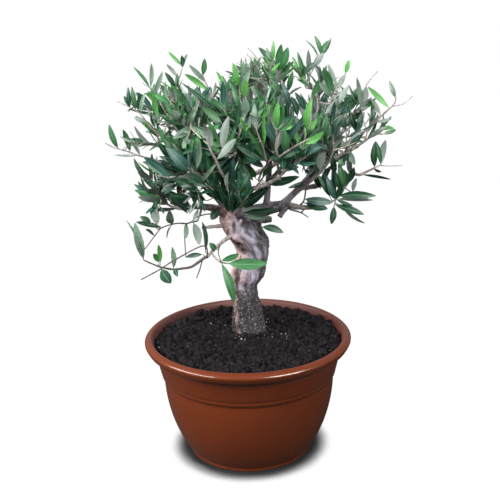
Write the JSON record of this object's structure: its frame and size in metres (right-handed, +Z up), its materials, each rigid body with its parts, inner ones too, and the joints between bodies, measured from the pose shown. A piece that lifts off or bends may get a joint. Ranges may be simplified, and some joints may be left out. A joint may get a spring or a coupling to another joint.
{
  "type": "olive bonsai in a pot",
  "caption": "Small olive tree trained as a bonsai, with a gnarled S-shaped trunk, spreading boughs and open leafy masses, standing in a round plastic pot of soil.",
  "frame": {"origin": "centre of the pot's flat underside, on the surface that it stands on", "axes": "+Z up along the trunk, +X towards the long level bough on the right of the pictured side, -Y towards the pictured front"},
  "size_m": [0.4087, 0.3533, 0.5953],
  "materials": {
    "pot": "satin moulded terracotta-coloured plastic",
    "soil": "damp dark potting soil with pale specks",
    "bark": "grey olive bark, smooth above and rough near the soil",
    "twig_bark": "pale grey-tan young bark",
    "foliage": "leathery leaves, dark green above and silvery grey-green below"
  },
  "bodies": {
    "root": {"pot": "pot", "soil": "soil", "trunk": "bark", "bough_left": "twig_bark", "bough_left_up": "twig_bark", "bough_middle": "twig_bark", "bough_right": "twig_bark", "bough_right_up": "twig_bark", "bough_up": "twig_bark", "bough_front": "twig_bark", "bough_back": "twig_bark", "limb_left_outer": "twig_bark", "limb_left_crest": "twig_bark", "limb_mid_left": "twig_bark", "limb_top_right": "twig_bark", "limb_right_outer": "twig_bark", "limb_right_far": "twig_bark", "limb_right_low": "twig_bark", "limb_right_mid": "twig_bark", "limb_top_back": "twig_bark", "limb_front_left": "twig_bark", "limb_front_right": "twig_bark", "limb_front_low": "twig_bark", "limb_back_left": "twig_bark", "limb_back_right": "twig_bark", "limb_inner_right": "twig_bark", "limb_inner_middle": "twig_bark", "limb_inner_left": "twig_bark", "twig_low": "twig_bark", "twig_front": "twig_bark", "twig_hanging": "twig_bark", "spur_left": "twig_bark", "stub_right": "twig_bark", "leaves_left_outer": "foliage", "leaves_left_crest": "foliage", "leaves_left_top": "foliage", "leaves_mid_left": "foliage", "leaves_left_low": "foliage", "leaves_top_left": "foliage", "leaves_top_middle": "foliage", "leaves_top_right": "foliage", "leaves_right_top": "foliage", "leaves_right_outer": "foliage", "leaves_right_far": "foliage", "leaves_right_low": "foliage", "leaves_right_mid": "foliage", "leaves_front_right": "foliage", "leaves_front_middle": "foliage", "leaves_front_left": "foliage", "leaves_front_low": "foliage", "leaves_inner_right": "foliage", "leaves_inner_middle": "foliage", "leaves_inner_left": "foliage", "leaves_back_left": "foliage", "leaves_back_middle": "foliage", "leaves_back_right": "foliage", "leaves_top_back": "foliage", "sprig_low": "foliage", "sprig_front": "foliage", "sprig_hanging": "foliage"}
  },
  "joints": []
}
